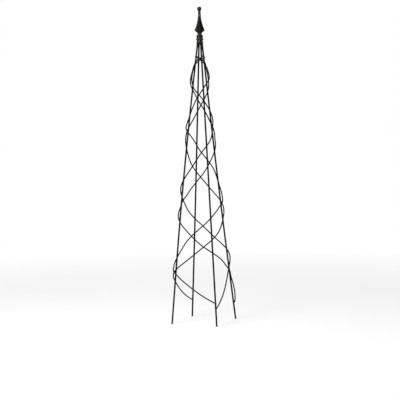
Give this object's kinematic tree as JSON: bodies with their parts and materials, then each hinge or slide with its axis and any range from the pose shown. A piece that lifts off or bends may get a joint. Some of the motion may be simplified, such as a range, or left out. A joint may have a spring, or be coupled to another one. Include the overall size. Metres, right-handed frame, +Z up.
{
  "type": "garden obelisk",
  "caption": "Free-standing wrought metal plant obelisk: slender rods meet under a beaded collar and a ball-tipped square spear finial, wrapped in a crossing wire lattice.",
  "frame": {"origin": "on the ground, at the centre of the square that the four feet make", "axes": "+Z up to the finial's tip; the four feet lie on +X, +Y, -X and -Y, and leg_front on -Y faces the usual viewer"},
  "size_m": [0.268, 0.268, 1.2],
  "materials": {
    "black_coat": "satin black powder coat on steel wire",
    "cast_black": "satin black coat over slightly rough cast iron",
    "black_oxide": "black oxide on a steel stud and nut"
  },
  "bodies": {
    "root": {"leg_right": "black_coat", "leg_back": "black_coat", "leg_left": "black_coat", "leg_front": "black_coat", "lattice_wire_a": "black_coat", "lattice_wire_b": "black_coat", "lattice_wire_c": "black_coat", "lattice_wire_d": "black_coat", "beaded_collar": "cast_black", "finial": "cast_black", "finial_stud": "black_oxide", "stud_nut": "black_oxide"}
  },
  "joints": []
}
